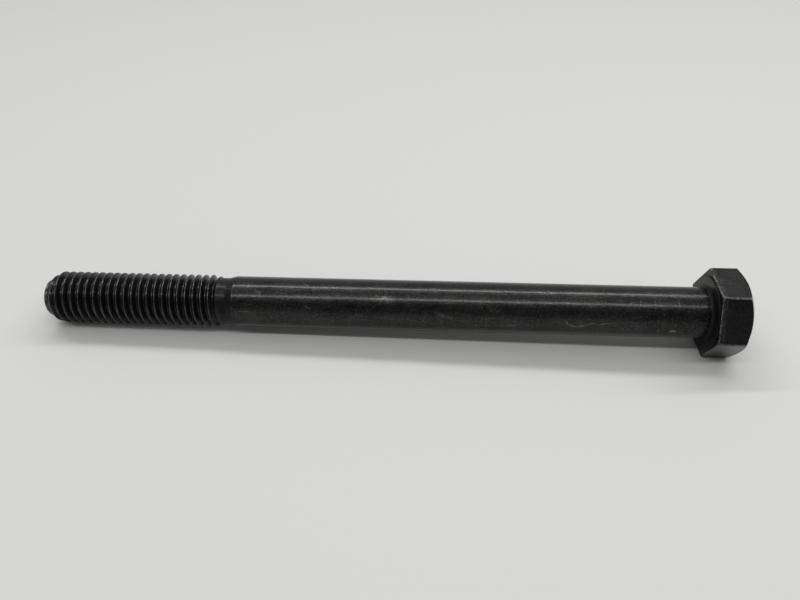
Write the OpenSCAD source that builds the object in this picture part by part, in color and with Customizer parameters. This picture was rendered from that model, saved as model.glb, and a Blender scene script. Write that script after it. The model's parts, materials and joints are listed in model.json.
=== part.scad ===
// Hex bolt with a part thread, one piece of cold-headed steel with a rolled right-hand thread.
// It lies at rest along X with its tip at -X and its head at +X, on one flat of the head
// and on the full thread crest nearest its tip. Sizes are in millimetres.

/* [Length] */
// Length from the bearing face to the tip
bolt_length = 150.2; // [90:0.1:250]
// Length from the tip to the end of the thread run-out
thread_length = 40.4; // [20:0.1:70]

/* [Thread] */
// Diameter over the thread crests
thread_d = 11.9; // [10:0.1:15]
// Distance from one crest to the next
pitch = 1.75; // [1.25:0.05:2]
// Slope of the chamfer on the tip, from the axis
tip_chamfer = 33; // [28:1:45]

/* [Shank] */
// How much thinner the plain shank is than the thread
shank_relief = 0.3; // [0.1:0.05:0.6]
// Radius of the fillet between shank and head
head_fillet = 0.7; // [0.4:0.1:1]
// Length of the plain neck behind the thread
neck_length = 1.6; // [1:0.1:4]
// Length of the cone from the neck up to the shank
shoulder_length = 1.8; // [1:0.1:4]

/* [Head] */
// Width across the flats of the hexagon
across_flats = 18; // [17:0.5:24]
// Height of the head, with the washer face
head_height = 7.65; // [5:0.05:12]
// Height of the round washer face under the hexagon
washer_face_height = 0.3; // [0.2:0.1:0.8]
// Slope of the chamfer on the outer end, from the end face
head_chamfer = 30; // [15:1:35]

/* [Hidden] */

// Radii along the bolt, from the thread out
thread_r = thread_d / 2;
thread_depth = 0.5413 * pitch;
root_r = thread_r - thread_depth;
tip_r = root_r - 0.49 * pitch;
neck_r = thread_r - 0.37 * pitch;
shank_r = thread_r - shank_relief / 2;

// Radii of the head
flat_r = across_flats / 2;
corner_r = flat_r / cos(30);
washer_face_r = 0.945 * flat_r;
end_face_r = 0.87 * flat_r;

// Stations along the bolt's own axis, with the bearing face at 0 and the head above it
tip_z = -bolt_length;
neck_start_z = tip_z + thread_length;
neck_end_z = neck_start_z + neck_length;
shoulder_end_z = neck_end_z + shoulder_length;
overlap = 0.5;

// Thread profile over one pitch: crest flat, flank, root flat, flank
profile = [[-1/16, thread_r], [1/16, thread_r], [3/8, root_r], [5/8, root_r]];
rows = len(profile);
turn_steps = 36;
first_crest = 1.36 * pitch;
lead_in = 3 * pitch;
helix_start_z = tip_z + first_crest - lead_in;
turns = ceil((neck_start_z - helix_start_z) / pitch + 0.2);
steps = turns * turn_steps;

// At its end the profile fades quickly into a core just inside the neck
core_r = neck_r - 0.04;
fade_length = 0.8 * pitch;
fade_end_z = neck_start_z - 0.35 * pitch;

// Length of the tip's chamfer, and crests along the bottom that it cuts down
chamfer_height = (thread_r - tip_r) / tan(tip_chamfer);
cut_crests = ceil((chamfer_height - first_crest) / pitch + 1/16);

// Lying pose: the bearing side of the lowest flat and the first full crest touch the ground
touch_z = tip_z + first_crest + cut_crests * pitch - pitch / 16;
tilt = atan((flat_r - thread_r) / (washer_face_height - touch_z));
ground_lift = flat_r * cos(tilt) - washer_face_height * sin(tilt);
head_reach = head_height * cos(tilt) + end_face_r * sin(tilt);
tip_reach = bolt_length * cos(tilt) + tip_r * sin(tilt);

// Share of the thread's depth that is left at height z
function thread_share(z) = max(0, min(1, (fade_end_z - z) / fade_length));

// Point of the helix at a step of the turn and a row of the profile
function helix_point(step, row) =
    let (
        angle = 360 * step / turn_steps,
        z = helix_start_z + pitch * (step / turn_steps + profile[row][0]),
        r = core_r + (profile[row][1] - core_r) * thread_share(z)
    )
    [r * cos(angle), r * sin(angle), z];

// Place of that point in the list; the row past the last is the first row one turn on
function helix_index(step, row) =
    row == rows ? helix_index(step + turn_steps, 0)
    : step <= steps ? step * rows + row
    : steps * (rows - 1) + rows - 1 + step;

// Threaded rod, longer than the thread at both ends
module helix_rod() {
    points = concat(
        [for (step = [0 : steps], row = [0 : rows - 1]) helix_point(step, row)],
        [for (step = [steps + 1 : steps + turn_steps]) helix_point(step, 0)],
        [
            [0, 0, helix_start_z + pitch / 2],
            [0, 0, helix_start_z + pitch * (turns + 1 / 2)]
        ]
    );
    low_centre = len(points) - 2;
    high_centre = len(points) - 1;
    side = [
        for (step = [0 : steps - 1], row = [0 : rows - 1], half = [0, 1])
        half == 0
            ? [helix_index(step, row), helix_index(step, row + 1), helix_index(step + 1, row + 1)]
            : [helix_index(step, row), helix_index(step + 1, row + 1), helix_index(step + 1, row)]
    ];
    low_end = concat(
        [for (step = [0 : turn_steps - 1])
            [low_centre, helix_index(step, 0), helix_index(step + 1, 0)]],
        [for (row = [0 : rows - 1])
            [low_centre, helix_index(0, row + 1), helix_index(0, row)]]
    );
    high_end = concat(
        [for (step = [steps : steps + turn_steps - 1])
            [high_centre, helix_index(step + 1, 0), helix_index(step, 0)]],
        [for (row = [0 : rows - 1])
            [high_centre, helix_index(steps, row), helix_index(steps, row + 1)]]
    );
    polyhedron(points = points, faces = concat(side, low_end, high_end));
}

// Rolled thread, cut square at the tip and chamfered
module thread() {
    point_r = thread_r + 0.1 * pitch;
    intersection() {
        helix_rod();
        rotate_extrude($fn = 96)
            polygon([
                [0, tip_z],
                [tip_r, tip_z],
                [point_r, tip_z + (point_r - tip_r) / tan(tip_chamfer)],
                [point_r, neck_start_z + overlap],
                [0, neck_start_z + overlap]
            ]);
    }
}

// Plain shank with its fillet under the head, the washer face, and the shoulder and neck
module shank() {
    fillet_arc = [
        for (angle = [0 : 15 : 90])
        [shank_r + head_fillet * (1 - cos(angle)), -head_fillet * (1 - sin(angle))]
    ];
    rotate_extrude($fn = 96)
        polygon(concat(
            [[0, neck_start_z], [neck_r, neck_start_z], [neck_r, neck_end_z], [shank_r, shoulder_end_z]],
            fillet_arc,
            [
                [washer_face_r, 0],
                [washer_face_r, washer_face_height + overlap],
                [0, washer_face_height + overlap]
            ]
        ));
}

// Hexagon head with the corners of its outer end turned off to a chamfer
module head() {
    turned_r = corner_r + 1;
    turned_z = head_height - (turned_r - end_face_r) * tan(head_chamfer);
    intersection() {
        translate([0, 0, washer_face_height])
            rotate(30)
                cylinder(r = corner_r, h = head_height - washer_face_height, $fn = 6);
        rotate_extrude($fn = 96)
            polygon([
                [0, 0],
                [turned_r, 0],
                [turned_r, turned_z],
                [end_face_r, head_height],
                [0, head_height]
            ]);
    }
}

// The whole bolt, laid down from its own axis onto the ground
module bolt() {
    color("#2a2a2c")
        translate([(tip_reach - head_reach) / 2, 0, ground_lift])
            rotate([0, 90 - tilt, 0])
                union() {
                    head();
                    shank();
                    thread();
                }
}

bolt();
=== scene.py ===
import json
import math

import bpy
from mathutils import Matrix, Quaternion, Vector


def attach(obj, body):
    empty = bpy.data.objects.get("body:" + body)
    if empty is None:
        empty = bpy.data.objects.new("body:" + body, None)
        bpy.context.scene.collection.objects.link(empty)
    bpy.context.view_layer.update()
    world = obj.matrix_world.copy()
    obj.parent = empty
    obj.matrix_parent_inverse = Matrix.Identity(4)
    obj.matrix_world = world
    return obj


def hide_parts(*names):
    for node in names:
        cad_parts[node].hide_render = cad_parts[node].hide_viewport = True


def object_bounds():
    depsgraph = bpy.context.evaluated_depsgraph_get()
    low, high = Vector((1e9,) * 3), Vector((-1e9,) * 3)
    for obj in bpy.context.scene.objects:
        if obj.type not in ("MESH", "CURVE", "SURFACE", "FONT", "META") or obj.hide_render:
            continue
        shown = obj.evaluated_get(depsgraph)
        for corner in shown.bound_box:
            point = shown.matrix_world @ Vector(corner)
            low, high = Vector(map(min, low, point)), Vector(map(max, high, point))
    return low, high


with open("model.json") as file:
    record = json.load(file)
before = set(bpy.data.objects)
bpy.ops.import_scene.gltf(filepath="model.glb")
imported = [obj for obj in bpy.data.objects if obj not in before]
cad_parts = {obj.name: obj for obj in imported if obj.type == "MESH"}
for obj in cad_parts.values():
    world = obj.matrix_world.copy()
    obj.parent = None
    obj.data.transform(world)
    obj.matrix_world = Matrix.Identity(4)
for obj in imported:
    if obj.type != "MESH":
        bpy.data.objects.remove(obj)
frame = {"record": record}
cad_low, cad_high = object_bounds()
scene = bpy.context.scene
scene.view_settings.view_transform = "Standard"

# The threaded end: a right-hand thread rolled into the steel, with a flat crest and a rounded root,
# that fades out at its end. The tip is cut square, and the first turns grow out of its long chamfer.
# It is modelled on the X axis with the bearing face at 0 and the head towards +X.
MM = 0.001
mounts = {mount["name"]: mount for mount in frame["record"]["mounts"]}
bearing_centre = Vector(mounts["bearing_face"]["pos_m"])
bearing_centre.y = 0
thread_middle = Vector(mounts["thread"]["pos_m"])
thread_length = mounts["thread"]["dims"]["length_mm"] * MM
thread_r = mounts["thread"]["dims"]["r_mm"] * MM
tip_x = -(bearing_centre - thread_middle).length - thread_length / 2
neck_start_x = tip_x + thread_length
pitch = 1.75 * MM
thread_depth = 0.6134 * pitch
crest_half = 0.055 * pitch
flank_angle = math.radians(30)
# The arc of the root runs into both flanks without a corner.
root_radius = (0.1459 * pitch - crest_half) / 0.5774
neck_r = thread_r - 0.37 * pitch
tip_r = thread_r - 1.0313 * pitch
tip_chamfer = math.radians(33)
first_crest = 1.36 * pitch
TURN_STEPS = 96
MERGE_REACH = 0.0005 * MM
CUT_REACH = 0.0001 * MM


def pick(piece):
    """Selects one piece alone and makes it the active one."""
    bpy.ops.object.select_all(action="DESELECT")
    piece.select_set(True)
    bpy.context.view_layer.objects.active = piece


def draw_outline(name, points):
    """Draws a line of edges in the plane below the X axis, from points of (along, radius)."""
    bpy.ops.object.select_all(action="DESELECT")
    bpy.ops.mesh.primitive_plane_add(size=pitch)
    line = bpy.context.object
    line.name = name
    bpy.ops.object.mode_set(mode="EDIT")
    bpy.ops.mesh.select_mode(type="VERT")
    bpy.ops.mesh.select_all(action="SELECT")
    bpy.ops.mesh.merge(type="CENTER")
    places = [Vector((along, 0, -radius)) for along, radius in points]
    bpy.ops.transform.translate(value=places[0])
    for here, there in zip(places, places[1:]):
        bpy.ops.mesh.extrude_region_move(TRANSFORM_OT_translate={"value": there - here})
    bpy.ops.object.mode_set(mode="OBJECT")
    return line


def apply_modifier(piece, kind, **settings):
    """Adds one modifier to a piece and applies it."""
    pick(piece)
    modifier = piece.modifiers.new(kind.lower(), kind)
    for setting, value in settings.items():
        setattr(modifier, setting, value)
    bpy.ops.object.modifier_apply(modifier=modifier.name)


def close_skin(piece):
    """Merges a turned skin's doubles and points its faces outwards."""
    pick(piece)
    bpy.ops.object.mode_set(mode="EDIT")
    bpy.ops.mesh.select_all(action="SELECT")
    bpy.ops.mesh.remove_doubles(threshold=MERGE_REACH)
    bpy.ops.mesh.normals_make_consistent(inside=False)
    bpy.ops.object.mode_set(mode="OBJECT")


def turn(name, points, steps):
    """Turns an outline into a closed round solid, as on a lathe."""
    blank = draw_outline(name, points)
    apply_modifier(blank, "SCREW", axis="X", angle=math.tau, steps=steps, render_steps=steps)
    close_skin(blank)
    return blank


def combine(piece, tool, operation):
    """Joins, cuts or trims a piece with a tool, which is then removed."""
    apply_modifier(piece, "BOOLEAN", operation=operation, object=tool, solver="EXACT")
    bpy.data.objects.remove(tool)


# Half of the thread's profile as (along, depth): rounded crest, straight flank and round root.
half_profile = [
    (0, 0),
    (0.5 * crest_half, 0),
    (0.85 * crest_half, 0.010 * MM),
    (1.15 * crest_half, 0.034 * MM),
]
flank_low = thread_depth - root_radius / 2
flank_high = 0.1 * MM
for share in (0, 0.33, 0.67):
    depth = flank_high + share * (flank_low - flank_high)
    half_profile.append((crest_half + depth * math.tan(flank_angle), depth))
for angle in (60, 45, 30, 15, 0):
    along = pitch / 2 - root_radius * math.sin(math.radians(angle))
    depth = thread_depth - root_radius * (1 - math.cos(math.radians(angle)))
    half_profile.append((along, depth))
other_half = [(pitch - along, depth) for along, depth in reversed(half_profile[:-1])]
lead_in = 3 * pitch
turns = math.ceil((thread_length + lead_in) / pitch) + 1
profile_x = tip_x + first_crest - lead_in
thread = draw_outline(
    "thread", [(profile_x + along, thread_r - depth) for along, depth in half_profile + other_half]
)
apply_modifier(
    thread,
    "SCREW",
    axis="X",
    angle=math.tau,
    screw_offset=pitch,
    iterations=turns,
    steps=TURN_STEPS,
    render_steps=TURN_STEPS,
)
close_skin(thread)

fade_length = 0.7 * pitch
fade_end_x = neck_start_x - 0.02 * pitch
core_r = neck_r - 0.004 * MM
chamfer_length = (thread_r - tip_r) / math.tan(tip_chamfer)
tip_rounding = 0.12 * MM
tip_depth_share = 0.15


def chamfer_top(x):
    """Gives the crest radius at x and the share of the thread's depth there, from the chamfer on."""
    along = max(0, x - tip_x)
    grown = min(1, along / chamfer_length)
    rounding = tip_rounding * max(0, 1 - along / tip_rounding) ** 2
    top_r = tip_r + (thread_r - tip_r) * grown - rounding
    return top_r, tip_depth_share + (1 - tip_depth_share) * grown


for vertex in thread.data.vertices:
    radius = math.hypot(vertex.co.y, vertex.co.z)
    top_r, depth_share = chamfer_top(vertex.co.x)
    shaped_r = top_r - (thread_r - radius) * depth_share
    share = min(1, max(0, (fade_end_x - vertex.co.x) / fade_length))
    scale = (core_r + (shaped_r - core_r) * share) / radius
    vertex.co.y *= scale
    vertex.co.z *= scale


def cut_across(piece, x, keep_above):
    """Cuts a piece square across the axis at x and closes the cut."""
    pick(piece)
    bpy.ops.object.mode_set(mode="EDIT")
    bpy.ops.mesh.select_all(action="SELECT")
    bpy.ops.mesh.bisect(
        plane_co=(x, 0, 0),
        plane_no=(1, 0, 0),
        use_fill=True,
        clear_inner=keep_above,
        clear_outer=not keep_above,
        threshold=CUT_REACH,
    )
    bpy.ops.object.mode_set(mode="OBJECT")


thread_overlap = 0.4 * MM
cut_across(thread, tip_x, keep_above=True)
cut_across(thread, neck_start_x + thread_overlap, keep_above=False)

# The shank: drawn round bar, plain for most of the bolt's length. Behind the thread it narrows over
# a short cone to a neck of the size that the thread was rolled from, and a small fillet carries it
# into the round washer face under the head.
shank_r = mounts["shank"]["dims"]["r_mm"] * MM
neck_length = 1.6 * MM
shoulder_length = 1.8 * MM
neck_end_x = neck_start_x + neck_length
shoulder_end_x = neck_end_x + shoulder_length
shoulder_slope = (shank_r - neck_r) / (shoulder_end_x - neck_end_x)
shoulder_rounding = 0.06 * MM
fillet = 0.7 * MM
corner_r = (cad_high.y - cad_low.y) / 2
flat_r = corner_r * math.cos(math.radians(30))
washer_face_r = 0.945 * flat_r
washer_face_height = 0.3 * MM
washer_rounding = 0.05 * MM
# Between these two radii the washer face gets less painted shade than in its corner and at its rim.
less_shade_low_r = shank_r + fillet + 0.12 * MM
less_shade_high_r = washer_face_r - 0.25 * MM
rounding_steps = [step * shoulder_rounding for step in (-3, -1, 1, 3)]
neck_edge = [
    (neck_end_x + along, neck_r + max(0, along) * shoulder_slope) for along in rounding_steps
]
shoulder_edge = [
    (shoulder_end_x + along, shank_r + min(0, along) * shoulder_slope) for along in rounding_steps
]
fillet_arc = [
    (
        -fillet * (1 - math.sin(math.radians(angle))),
        shank_r + fillet * (1 - math.cos(math.radians(angle))),
    )
    for angle in range(0, 91, 15)
]
SHANK_STEPS = 128
shank = turn(
    "shank",
    [(neck_start_x, 0), (neck_start_x, neck_r)]
    + neck_edge
    + shoulder_edge
    + fillet_arc
    + [
        (0, less_shade_low_r),
        (0, less_shade_high_r),
        (0, washer_face_r - washer_rounding),
        (0.3 * washer_rounding, washer_face_r - 0.3 * washer_rounding),
        (washer_rounding, washer_face_r),
        (2 * washer_face_height, washer_face_r),
        (2 * washer_face_height, 0),
    ],
    SHANK_STEPS,
)

# The head: cold-forged and trimmed to a hexagon. Its outer end is turned off to a 30 degree chamfer,
# its corners are rounded by wear, and a narrow bevelled band runs along the bearing side of the flats.
head_height = 7.65 * MM
end_face_r = 0.87 * flat_r
head_chamfer = math.radians(30)
corner_rounding = 0.35 * MM
band_width = 0.85 * MM
band_depth = 0.12 * MM
edge_rounding = 0.2 * MM
ridge_rounding = 0.1 * MM
end_rounding = 0.15 * MM
# A hair's breadth, within which two places count as one.
HAIR = 0.01 * MM


def select_edges(piece, chosen):
    """Selects the edges of a piece that pass a test of their two ends, and opens it for editing."""
    pick(piece)
    bpy.ops.object.mode_set(mode="EDIT")
    bpy.ops.mesh.select_mode(type="EDGE")
    bpy.ops.mesh.select_all(action="DESELECT")
    bpy.ops.object.mode_set(mode="OBJECT")
    places = [vertex.co.copy() for vertex in piece.data.vertices]
    for edge in piece.data.edges:
        edge.select = chosen(*(places[number] for number in edge.vertices))
    bpy.ops.object.mode_set(mode="EDIT")


bpy.ops.object.select_all(action="DESELECT")
bpy.ops.mesh.primitive_cylinder_add(
    vertices=6,
    radius=corner_r,
    depth=head_height - washer_face_height,
    location=((head_height + washer_face_height) / 2, 0, 0),
    rotation=(0, math.radians(90), 0),
)
head = bpy.context.object
head.name = "head"
bpy.ops.object.transform_apply(location=True, rotation=True, scale=True)
select_edges(head, lambda a, b: abs(a.x - b.x) > 0.5 * head_height)
bpy.ops.mesh.bevel(offset=corner_rounding, segments=5, affect="EDGES")
ridge_x = washer_face_height + band_width
bpy.ops.mesh.select_all(action="SELECT")
bpy.ops.mesh.bisect(plane_co=(ridge_x, 0, 0), plane_no=(1, 0, 0), threshold=CUT_REACH)
bpy.ops.object.mode_set(mode="OBJECT")


def on_ring(x):
    """Gives the test for edges that run round the head at x."""
    return lambda a, b: abs(a.x - x) < HAIR and abs(b.x - x) < HAIR


select_edges(head, on_ring(washer_face_height))
narrowing = (flat_r - band_depth) / flat_r
bpy.ops.transform.resize(value=(1, narrowing, narrowing), center_override=(washer_face_height, 0, 0))
bpy.ops.mesh.bevel(offset=edge_rounding, segments=3, affect="EDGES")
bpy.ops.object.mode_set(mode="OBJECT")
select_edges(head, on_ring(ridge_x))
bpy.ops.mesh.bevel(offset=ridge_rounding, segments=2, affect="EDGES")
bpy.ops.object.mode_set(mode="OBJECT")
spare = 1 * MM
turned_r = corner_r + spare
turned_x = head_height - (turned_r - end_face_r) * math.tan(head_chamfer)
head_blank = turn(
    "head_blank",
    [
        (-spare, 0),
        (-spare, turned_r),
        (turned_x, turned_r),
        (head_height - 0.58 * end_rounding, end_face_r + end_rounding),
        (head_height - 0.2 * end_rounding, end_face_r + 0.2 * end_rounding),
        (head_height, end_face_r - end_rounding),
        (head_height, 0),
    ],
    SHANK_STEPS,
)
combine(head, head_blank, "INTERSECT")

# The bolt is one piece of steel: its three stretches are joined into one skin and laid on the ground
# as the imported frame has it. For the finish, the skin is marked where crests, edges and the tip are
# worn, where the thread's grooves are darker, and where shade is painted under the head.
combine(shank, head, "UNION")
combine(shank, thread, "UNION")
bolt = shank
bolt.name = "hex_bolt"
flat_angles = [math.radians(angle) for angle in (30, 90, 150)]
crest_wear = 0.32
crest_wear_depth = 0.025 * MM
tip_wear = 0.42
tip_wear_end = 1.19 * MM
tip_wear_fade = 0.7 * MM
shoulder_wear = 0.14
corner_wear = 0.6
ridge_wear = 0.35
# Depth below the crest where the grooves begin to get darker, and the depth over which they darken.
dark_groove_top = 0.17 * MM
dark_groove_fade = 0.3 * MM
# Strength of the painted shade on the washer face's ring and on the head's bearing side.
bearing_shade = 0.6
marks_on_skin = ("wear", "groove", "painted_shade")
for name in marks_on_skin:
    bolt.data.attributes.new(name, "FLOAT", "POINT")
skin_values = [bolt.data.attributes[name].data for name in marks_on_skin]
for vertex, mark, deep, shade_mark in zip(bolt.data.vertices, *skin_values):
    x, y, z = vertex.co
    radius = math.hypot(y, z)
    across = sorted(abs(y * math.cos(angle) + z * math.sin(angle)) for angle in flat_angles)
    if x < neck_start_x:
        top_r, depth_share = chamfer_top(x)
        depth = (top_r - radius) / depth_share
        off_tip = min(1, (x - tip_x) / tip_rounding)
        rubbed_tip = tip_wear * min(1, max(0, (tip_x + tip_wear_end - x) / tip_wear_fade))
        mark.value = off_tip * max(rubbed_tip, crest_wear - crest_wear * depth / crest_wear_depth)
        grown = min(1, (x - tip_x) / chamfer_length)
        deep.value = grown**2 * min(1, max(0, (depth - dark_groove_top) / dark_groove_fade))
    elif abs(x - shoulder_end_x) < 1.5 * shoulder_rounding:
        mark.value = shoulder_wear
    elif -0.9 * fillet < x < washer_face_height - HAIR:
        # Painted shade: the corner under the head is darkened in full, the ring between the two radii
        # less.
        shade_mark.value = bearing_shade if less_shade_low_r - HAIR < radius < less_shade_high_r + HAIR else 1
    elif x > washer_face_height - HAIR:
        from_corner = (flat_r - across[1]) / (0.85 * corner_rounding)
        from_edge = (x - washer_face_height + flat_r - band_depth - across[2]) / edge_rounding
        from_ridge = abs(x - ridge_x) / ridge_rounding
        mark.value = max(
            0,
            corner_wear - corner_wear * from_corner,
            min(1, 2 - 2 * from_edge),
            ridge_wear - ridge_wear * from_ridge,
        )
        # The head's bearing side gets the lighter painted shade too.
        shade_mark.value = bearing_shade if x < washer_face_height + HAIR else 0
to_head = -Vector(mounts["shank"]["axis"])
tilt = math.atan2(to_head.z, to_head.x)
smooth_angle = math.radians(28)
bolt.data.transform(Matrix.Translation(bearing_centre) @ Matrix.Rotation(-tilt, 4, "Y"))
pick(bolt)
bpy.ops.object.shade_smooth_by_angle(angle=smooth_angle)
apply_modifier(bolt, "WEIGHTED_NORMAL", keep_sharp=True)
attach(bolt, "root")
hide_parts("bolt")


# The finish: hot black oxide, a thin dark layer grown on the steel and kept under oil. It gives the eye
# a near black with narrow streaks from the lamps, broken by the fine lines of the drawn bar,
# and paler grey where crests, edges and handling have rubbed it. It also holds a painted glint on the
# shank and painted shade under the head.
def linear(hex_colour):
    """Turns an sRGB hex colour into the linear values that a shader takes."""
    parts = [int(hex_colour[start : start + 2], 16) / 255 for start in (1, 3, 5)]
    return [v / 12.92 if v <= 0.04045 else ((v + 0.055) / 1.055) ** 2.4 for v in parts] + [1]


def add_node(tree, kind, settings, sockets):
    """Adds a node with its settings; a socket gets a value, or a link where an output is given."""
    node = tree.nodes.new(kind)
    for name, value in settings.items():
        setattr(node, name, value)
    for socket, value in sockets.items():
        if isinstance(value, bpy.types.NodeSocket):
            tree.links.new(value, node.inputs[socket])
        else:
            node.inputs[socket].default_value = value
    return node


oxide = bpy.data.materials.new("black_oxide_steel")
oxide.use_nodes = True
finish = oxide.node_tree
shader = finish.nodes["Principled BSDF"]
bolt.data.materials.clear()
bolt.data.materials.append(oxide)

# Places on the bolt in millimetres: x along the axis from the bearing face, and the skin unrolled
# round the axis, with 0 on the viewer's side. The finish differs a little on the neck, on the head
# and along the bar, so each has a share of its own.
object_place = add_node(finish, "ShaderNodeTexCoord", {}, {}).outputs["Object"]
place = add_node(
    finish,
    "ShaderNodeMapping",
    {"vector_type": "TEXTURE"},
    {
        "Vector": object_place,
        "Location": bearing_centre,
        "Rotation": (0, -tilt, 0),
        "Scale": (MM, MM, MM),
    },
).outputs["Vector"]
apart = add_node(finish, "ShaderNodeSeparateXYZ", {}, {"Vector": place}).outputs
to_viewer = add_node(
    finish, "ShaderNodeMath", {"operation": "MULTIPLY"}, {0: apart["Y"], 1: -1}
).outputs[0]
round_angle = add_node(
    finish, "ShaderNodeMath", {"operation": "ARCTAN2"}, {0: apart["Z"], 1: to_viewer}
).outputs[0]
skin_mm = shank_r / MM
arc = add_node(
    finish, "ShaderNodeMath", {"operation": "MULTIPLY"}, {0: round_angle, 1: skin_mm}
).outputs[0]
unrolled = add_node(finish, "ShaderNodeCombineXYZ", {}, {"X": apart["X"], "Y": arc}).outputs["Vector"]
neck_middle_mm = (neck_start_x + shoulder_end_x) / 2 / MM
neck_half_mm = (shoulder_end_x - neck_start_x) / 2 / MM
on_neck = add_node(
    finish,
    "ShaderNodeMath",
    {"operation": "COMPARE"},
    {0: apart["X"], 1: neck_middle_mm, 2: neck_half_mm},
).outputs[0]
on_head = add_node(
    finish, "ShaderNodeMapRange", {}, {"Value": apart["X"], "From Min": -fillet / MM, "From Max": 0}
).outputs["Result"]
on_bar = add_node(
    finish,
    "ShaderNodeMapRange",
    {},
    {"Value": apart["X"], "From Min": -fillet / MM, "From Max": 0, "To Min": 1, "To Max": 0.25},
).outputs["Result"]

# Grain of the oxide, a few hundredths of a millimetre on a real bolt and drawn coarser so that it shows,
# and calmer on the neck and the head; the drawn bar's lines along the axis, drawn coarser too;
# and cloudy patches of thicker and thinner oxide.
grain_mm = 0.45
neck_calm = 0.6
head_calm = 0.35
calm = 0
for share, strength in ((on_neck, neck_calm), (on_head, head_calm)):
    calm = add_node(
        finish, "ShaderNodeMath", {"operation": "MULTIPLY_ADD"}, {0: share, 1: strength, 2: calm}
    ).outputs[0]
full_grain = add_node(
    finish,
    "ShaderNodeTexNoise",
    {},
    {"Vector": place, "Scale": 1 / grain_mm, "Detail": 4, "Roughness": 0.8, "Distortion": 0.4},
).outputs["Fac"]
grain = add_node(
    finish, "ShaderNodeMix", {"data_type": "FLOAT"}, {0: calm, 2: full_grain, 3: 0.5}
).outputs[0]
line_mm = 0.5
line_length_mm = 7
lengthened = add_node(
    finish, "ShaderNodeMapping", {}, {"Vector": place, "Scale": (line_mm / line_length_mm, 1, 1)}
).outputs["Vector"]
line_field = add_node(
    finish,
    "ShaderNodeTexNoise",
    {},
    {"Vector": lengthened, "Scale": 1 / line_mm, "Detail": 3, "Roughness": 0.55},
).outputs["Fac"]
drawn_lines = add_node(
    finish, "ShaderNodeMix", {"data_type": "FLOAT"}, {0: on_bar, 2: 0.5, 3: line_field}
).outputs[0]
cloud_mm = 5
clouds = add_node(
    finish,
    "ShaderNodeTexNoise",
    {},
    {"Vector": place, "Scale": 1 / cloud_mm, "Detail": 4, "Roughness": 0.6},
).outputs["Fac"]
mottle = grain
for pattern, strength in ((clouds, 0.4), (drawn_lines, 0.3)):
    mottle = add_node(
        finish, "ShaderNodeMath", {"operation": "MULTIPLY_ADD"}, {0: pattern, 1: strength, 2: mottle}
    ).outputs[0]
mottle_share = add_node(
    finish, "ShaderNodeMapRange", {}, {"Value": mottle, "From Min": 0.7, "From Max": 1.0}
).outputs["Result"]
thick_oxide = linear("#070707")
thin_oxide = linear("#323331")
black = add_node(
    finish, "ShaderNodeMix", {"data_type": "RGBA"}, {0: mottle_share, 6: thick_oxide, 7: thin_oxide}
).outputs[2]

# Rubbed places: scuffs and scratches on the shank, and one painted glint, as (x, degrees round, half
# length, half width, turn, strength), lengths in millimetres, with pale specks in the oxide along the
# bar.
shank_rubs_and_glint = [
    (-72, 58, 1.0, 0.4, -14, 0.8),
    (-72.2, 54, 3.4, 1.6, -8, 0.32),
    (-31.6, 11.2, 1.0, 0.2, -52, 0.8),
    (-30.3, 3.4, 1.4, 0.2, -16, 0.8),
    (-28.6, 2.6, 1.2, 0.24, 13, 0.9),
    (-26.7, 8, 1.6, 0.2, 19, 0.8),
    (-22.8, 11.7, 2.3, 0.2, 9, 0.8),
    # Painted highlight: a pale spot at full strength that stands for a glint.
    (-8.2, -6.1, 1.0, 0.55, -1, 1.6),
    (-11.4, -4.4, 0.6, 0.3, 14, 0.8),
    (-43.6, -0.2, 1.6, 0.18, 9, 0.5),
    (-62.6, 25.5, 0.8, 0.14, -32, 0.4),
    (-89.9, 86.6, 1.5, 0.16, -30, 0.6),
    (-88.1, 70.8, 1.1, 0.16, -79, 0.7),
    (-89.3, 32.3, 1.4, 0.24, -23, 0.7),
    (-103.5, 18.7, 1.7, 0.2, 4, 0.6),
    (-47.5, 33.6, 2.8, 1.1, -33, 0.2),
    (-59.1, 21.5, 3.2, 0.6, -20, 0.3),
    (-81.5, 60, 3.0, 0.7, -10, 0.15),
    (-100.5, 63.7, 1.2, 0.5, -38, 0.3),
    (-44.5, 62, 1.3, 0.14, 88, 0.4),
    (-26.5, 45, 0.9, 0.14, 95, 0.4),
    (-15.8, 60, 1.5, 0.14, 86, 0.4),
    (-12.6, 52, 1.0, 0.14, 92, 0.4),
    (-7.4, 62, 1.4, 0.14, 89, 0.4),
    (-38, 200, 3.0, 0.6, 12, 0.3),
    (-84, 165, 2.4, 0.4, -25, 0.4),
    (-60, -95, 4.0, 0.5, 6, 0.3),
    (-15, 240, 2.0, 0.5, -18, 0.4),
]


def add_patch(so_far, skin, centre, turn_degrees, half_sizes, strength):
    """Lays one soft patch on the skin and gives the stronger of it and the patches so far."""
    spot = add_node(
        finish,
        "ShaderNodeMapping",
        {"vector_type": "TEXTURE"},
        {
            "Vector": skin,
            "Location": centre,
            "Rotation": (0, 0, math.radians(turn_degrees)),
            "Scale": half_sizes,
        },
    ).outputs["Vector"]
    patch = add_node(
        finish, "ShaderNodeTexGradient", {"gradient_type": "SPHERICAL"}, {"Vector": spot}
    ).outputs["Fac"]
    laid_patch = add_node(
        finish, "ShaderNodeMath", {"operation": "MULTIPLY"}, {0: patch, 1: strength}
    ).outputs[0]
    return add_node(
        finish, "ShaderNodeMath", {"operation": "MAXIMUM"}, {0: laid_patch, 1: so_far}
    ).outputs[0]


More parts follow.
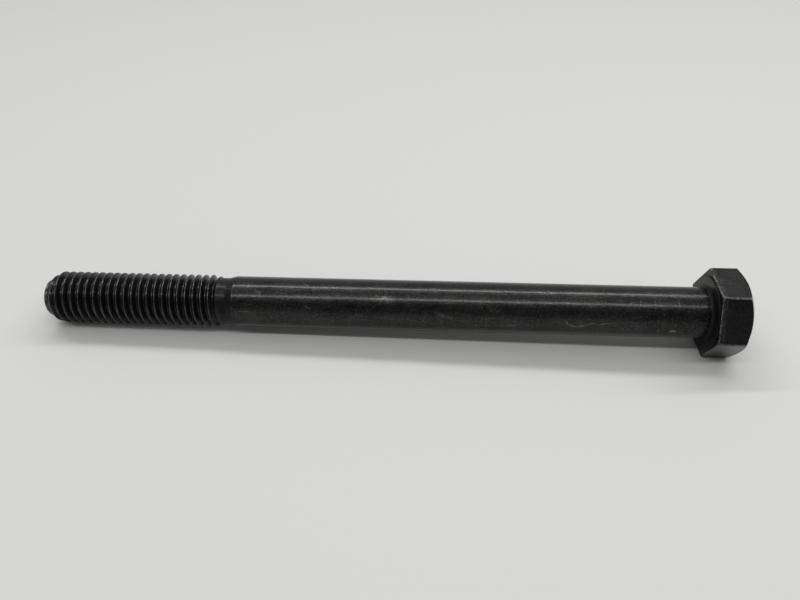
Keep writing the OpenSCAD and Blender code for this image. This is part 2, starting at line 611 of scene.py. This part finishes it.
rubbed_and_glint = 0
for x, degrees, half_length, half_width, turn_degrees, strength in shank_rubs_and_glint:
    round_mm = math.radians((degrees + 180) % 360 - 180) * skin_mm
    rubbed_and_glint = add_patch(
        rubbed_and_glint, unrolled, (x, round_mm, 0), turn_degrees, (half_length, half_width, 1), strength
    )
broken = add_node(
    finish, "ShaderNodeMapRange", {}, {"Value": grain, "From Min": 0.4, "From Max": 0.6}
).outputs["Result"]
scuffs_and_glint = add_node(
    finish, "ShaderNodeMath", {"operation": "MULTIPLY"}, {0: rubbed_and_glint, 1: broken}
).outputs[0]
specks = add_node(
    finish,
    "ShaderNodeMapRange",
    {},
    {"Value": grain, "From Min": 0.6, "From Max": 0.74, "To Min": 0, "To Max": 0.5},
).outputs["Result"]
bar_specks = add_node(
    finish, "ShaderNodeMath", {"operation": "MULTIPLY"}, {0: specks, 1: on_bar}
).outputs[0]
pale = add_node(
    finish, "ShaderNodeMath", {"operation": "MAXIMUM"}, {0: scuffs_and_glint, 1: bar_specks}
).outputs[0]
# Pale grey of the rubs, which also paints the glint.
rubbed_and_glint_grey = linear("#8f8b86")
scuffed_and_glint = add_node(
    finish, "ShaderNodeMix", {"data_type": "RGBA"}, {0: pale, 6: black, 7: rubbed_and_glint_grey}
).outputs[2]

# The grooves of the thread are darker, and the corner under the head is darkened
# as painted shade.
dark_groove = add_node(finish, "ShaderNodeAttribute", {"attribute_name": "groove"}, {}).outputs["Fac"]
# Darker colour of the thread's grooves.
groove_black = linear("#141414")
grooves_darkened = add_node(
    finish, "ShaderNodeMix", {"data_type": "RGBA"}, {0: dark_groove, 6: scuffed_and_glint, 7: groove_black}
).outputs[2]
# The painted shade under the head darkens the colour here.
shade_under_head = add_node(finish, "ShaderNodeAttribute", {"attribute_name": "painted_shade"}, {}).outputs["Fac"]
shade_black = linear("#1c1c1c")
shaded_colour = add_node(
    finish, "ShaderNodeMix", {"data_type": "RGBA"}, {0: shade_under_head, 6: grooves_darkened, 7: shade_black}
).outputs[2]

# Worn crests and edges show the grey steel, in beads where the oxide holds on. On the head it has
# also gone in patches at the corners and on the flats, listed as (x, y, z, three half sizes, strength)
# with lengths in millimetres.
head_rubs = [
    (0.6, -10.0, -0.6, 1.1, 1.1, 1.5, 0.5),
    (0.4, -7.4, -5.2, 0.5, 1.8, 2.6, 0.3),
    (0.5, -5.2, 8.9, 0.7, 0.8, 0.6, 0.6),
    (6.2, -5.2, 8.9, 0.6, 0.6, 0.6, 0.6),
    (1.6, 0.6, 9.0, 1.4, 1.5, 0.4, 0.12),
    (1.2, -2.6, 9.0, 0.8, 1.6, 0.4, 0.1),
    (3.0, -0.6, 9.0, 3.4, 4.4, 0.5, 0.03),
    (4.6, 3.6, 9.0, 1.6, 0.25, 0.4, 0.1),
    (5.6, 10.1, 0.4, 0.9, 0.9, 0.9, 0.3),
    (7.6, -3.1, 4.6, 0.4, 1.5, 1.2, 0.15),
    (7.6, 4.4, -2.6, 0.4, 2.1, 0.4, 0.18),
]
wear = add_node(finish, "ShaderNodeAttribute", {"attribute_name": "wear"}, {}).outputs["Fac"]
for x, y, z, half_x, half_y, half_z, strength in head_rubs:
    wear = add_patch(wear, place, (x, y, z), 0, (half_x, half_y, half_z), strength)
bead_mm = 0.6
beads = add_node(
    finish, "ShaderNodeTexNoise", {}, {"Vector": place, "Scale": 1 / bead_mm, "Detail": 3}
).outputs["Fac"]
bead_share = add_node(
    finish, "ShaderNodeMapRange", {}, {"Value": beads, "From Min": 0.36, "From Max": 0.66}
).outputs["Result"]
worn = add_node(
    finish, "ShaderNodeMath", {"operation": "MULTIPLY"}, {0: wear, 1: bead_share}
).outputs[0]
worn_steel = linear("#9f9d9a")
colour = add_node(
    finish, "ShaderNodeMix", {"data_type": "RGBA"}, {0: worn, 6: shaded_colour, 7: worn_steel}
).outputs[2]
finish.links.new(colour, shader.inputs["Base Color"])

# The oxide has a low sheen, duller on the neck, in the grooves, in the painted shade under the head
# and where it is worn. The darker grooves and the painted shade are less metallic, and grain and lines
# stand up from the surface by a few thousandths of a millimetre.
texture_sum = add_node(
    finish, "ShaderNodeMath", {"operation": "ADD"}, {0: grain, 1: drawn_lines}
).outputs[0]
dull = add_node(
    finish,
    "ShaderNodeMapRange",
    {},
    {"Value": texture_sum, "From Min": 0.75, "From Max": 1.25, "To Min": 0.28, "To Max": 0.34},
).outputs["Result"]
for share, extra in ((on_neck, 0.16), (dark_groove, 0.12), (shade_under_head, 0.28), (worn, 0.4)):
    dull = add_node(
        finish, "ShaderNodeMath", {"operation": "MULTIPLY_ADD"}, {0: share, 1: extra, 2: dull}
    ).outputs[0]
finish.links.new(dull, shader.inputs["Roughness"])
darkened_share = add_node(
    finish, "ShaderNodeMath", {"operation": "MAXIMUM"}, {0: dark_groove, 1: shade_under_head}
).outputs[0]
clean_metal = 0.93
darkened_metal = 0.78
metal_share = add_node(
    finish, "ShaderNodeMapRange", {}, {"Value": darkened_share, "To Min": clean_metal, "To Max": darkened_metal}
).outputs["Result"]
finish.links.new(metal_share, shader.inputs["Metallic"])
grain_height_mm = 0.006
line_height_mm = 0.005
line_height = add_node(
    finish, "ShaderNodeMath", {"operation": "MULTIPLY"}, {0: drawn_lines, 1: line_height_mm}
).outputs[0]
height = add_node(
    finish,
    "ShaderNodeMath",
    {"operation": "MULTIPLY_ADD"},
    {0: grain, 1: grain_height_mm, 2: line_height},
).outputs[0]
relief = add_node(
    finish, "ShaderNodeBump", {}, {"Height": height, "Distance": MM, "Strength": 1}
).outputs["Normal"]
finish.links.new(relief, shader.inputs["Normal"])

# A thin film of oil lies over the oxide. It is thinner on the neck and beside the head, where hands
# have wiped it, and gone where the skin is worn or has painted shade under the head.
film_weight = 0.33
film_roughness = 0.17
neck_dryness = 0.6
head_dryness = 0.5
wiped_from_mm = -18
wiped_full_mm = -4
dry_neck = add_node(
    finish, "ShaderNodeMath", {"operation": "MULTIPLY"}, {0: on_neck, 1: neck_dryness}
).outputs[0]
near_head = add_node(
    finish,
    "ShaderNodeMapRange",
    {},
    {
        "Value": apart["X"],
        "From Min": wiped_from_mm,
        "From Max": wiped_full_mm,
        "To Min": 0,
        "To Max": head_dryness,
    },
).outputs["Result"]
wiped = add_node(
    finish, "ShaderNodeMath", {"operation": "MULTIPLY"}, {0: near_head, 1: on_bar}
).outputs[0]
bare = worn
for share in (dry_neck, shade_under_head, wiped):
    bare = add_node(
        finish, "ShaderNodeMath", {"operation": "MAXIMUM"}, {0: share, 1: bare}
    ).outputs[0]
oil_film = add_node(
    finish, "ShaderNodeMapRange", {}, {"Value": bare, "To Min": film_weight, "To Max": 0}
).outputs["Result"]
finish.links.new(oil_film, shader.inputs["Coat Weight"])
finish.links.new(relief, shader.inputs["Coat Normal"])
shader.inputs["Coat Roughness"].default_value = film_roughness

# The table: a plain level top with a coat of pale, dull paint, on which the bolt lies.
# It reaches far past the bolt on every side.
table_width = 6
bpy.ops.object.select_all(action="DESELECT")
bpy.ops.mesh.primitive_plane_add(size=table_width, location=(0, 0, 0))
table = bpy.context.object
table.name = "table_top"
table_paint = bpy.data.materials.new("pale_table_paint")
table_paint.use_nodes = True
table_shader = table_paint.node_tree.nodes["Principled BSDF"]
table_shader.inputs["Base Color"].default_value = linear("#d0d0ce")
table_shader.inputs["Roughness"].default_value = 0.6
table.data.materials.append(table_paint)

# The light: two long lamps over the table, one behind the bolt and one a little in front,
# in a pale room that is darker towards the viewer and at both ends of the bolt.
LAMPS_X = 0.1
LAMP_DISTANCE = 0.6
LAMP_LENGTH = 1.3
LAMP_WIDTH = 0.03


def hang_lamp(name, elevation, turn_degrees, power):
    """Hangs a long lamp over the bolt; elevation is counted from the viewer's side, turn from X."""
    lamp_data = bpy.data.lights.new(name, "AREA")
    lamp_data.shape = "RECTANGLE"
    lamp_data.size = LAMP_LENGTH
    lamp_data.size_y = LAMP_WIDTH
    lamp_data.energy = power
    lamp = bpy.data.objects.new(name, lamp_data)
    angle = math.radians(elevation)
    out = Vector((0, -math.cos(angle), math.sin(angle)))
    aimed_down = out.to_track_quat("Z", "Y")
    lamp.location = Vector((LAMPS_X, 0, 0)) + out * LAMP_DISTANCE
    lamp.rotation_euler = (Quaternion(out, math.radians(turn_degrees)) @ aimed_down).to_euler()
    scene.collection.objects.link(lamp)


hang_lamp("lamp_behind", elevation=118.6, turn_degrees=5, power=2.55)
hang_lamp("lamp_front", elevation=68.3, turn_degrees=3, power=1.76)
room = bpy.data.worlds.new("pale_room")
room.use_nodes = True
scene.world = room
sky = room.node_tree
direction = add_node(sky, "ShaderNodeTexCoord", {}, {}).outputs["Generated"]
parts = add_node(sky, "ShaderNodeSeparateXYZ", {}, {"Vector": direction}).outputs
to_front = add_node(
    sky, "ShaderNodeMath", {"operation": "MULTIPLY"}, {0: parts["Y"], 1: -1}
).outputs[0]
height_angle = add_node(
    sky, "ShaderNodeMath", {"operation": "ARCTAN2"}, {0: parts["Z"], 1: to_front}
).outputs[0]
half_turns = add_node(
    sky, "ShaderNodeMath", {"operation": "DIVIDE"}, {0: height_angle, 1: math.pi}
).outputs[0]
tones = add_node(sky, "ShaderNodeValToRGB", {}, {"Fac": half_turns})
# Tones of the room as (degrees up from the viewer's side and over, grey).
room_tones = [
    (0, 0.36),
    (12, 0.27),
    (22, 0.21),
    (34, 0.19),
    (52, 0.2),
    (62, 0.35),
    (75, 0.63),
    (110, 0.65),
    (122, 0.58),
    (138, 0.46),
    (150, 0.5),
    (180, 0.47),
]
for degrees, tone in room_tones[1:-1]:
    tones.color_ramp.elements.new(degrees / 180)
for stop, (degrees, tone) in zip(tones.color_ramp.elements, room_tones):
    stop.color = (tone, tone, tone, 1)
sideways = add_node(sky, "ShaderNodeMath", {"operation": "ABSOLUTE"}, {0: parts["X"]}).outputs[0]
end_share = add_node(
    sky, "ShaderNodeMapRange", {}, {"Value": sideways, "From Min": 0.5, "From Max": 0.7}
).outputs["Result"]
end_tone = 0.2
room_tone = add_node(
    sky,
    "ShaderNodeMix",
    {"data_type": "RGBA"},
    {0: end_share, 6: tones.outputs["Color"], 7: (end_tone, end_tone, end_tone, 1)},
).outputs[2]
sky.links.new(room_tone, sky.nodes["Background"].inputs["Color"])

# The camera: in front of the bolt and looking down on it, near enough that the bolt takes up
# nearly the whole width of the picture.
camera_data = bpy.data.cameras.new("camera")
camera = bpy.data.objects.new("camera", camera_data)
scene.collection.objects.link(camera)
camera_data.sensor_width = 36
camera_data.lens = 30.93
camera_data.clip_start = 0.01
camera.location = Vector((6.75, -117.832, 113.063)) * MM
aim = Vector((2.495, 0, 9.138)) * MM
camera_roll = math.radians(0.962)
level = (aim - camera.location).to_track_quat("-Z", "Y").to_matrix().to_4x4()
camera.matrix_world = Matrix.Translation(camera.location) @ level @ Matrix.Rotation(camera_roll, 4, "Z")
scene.camera = camera
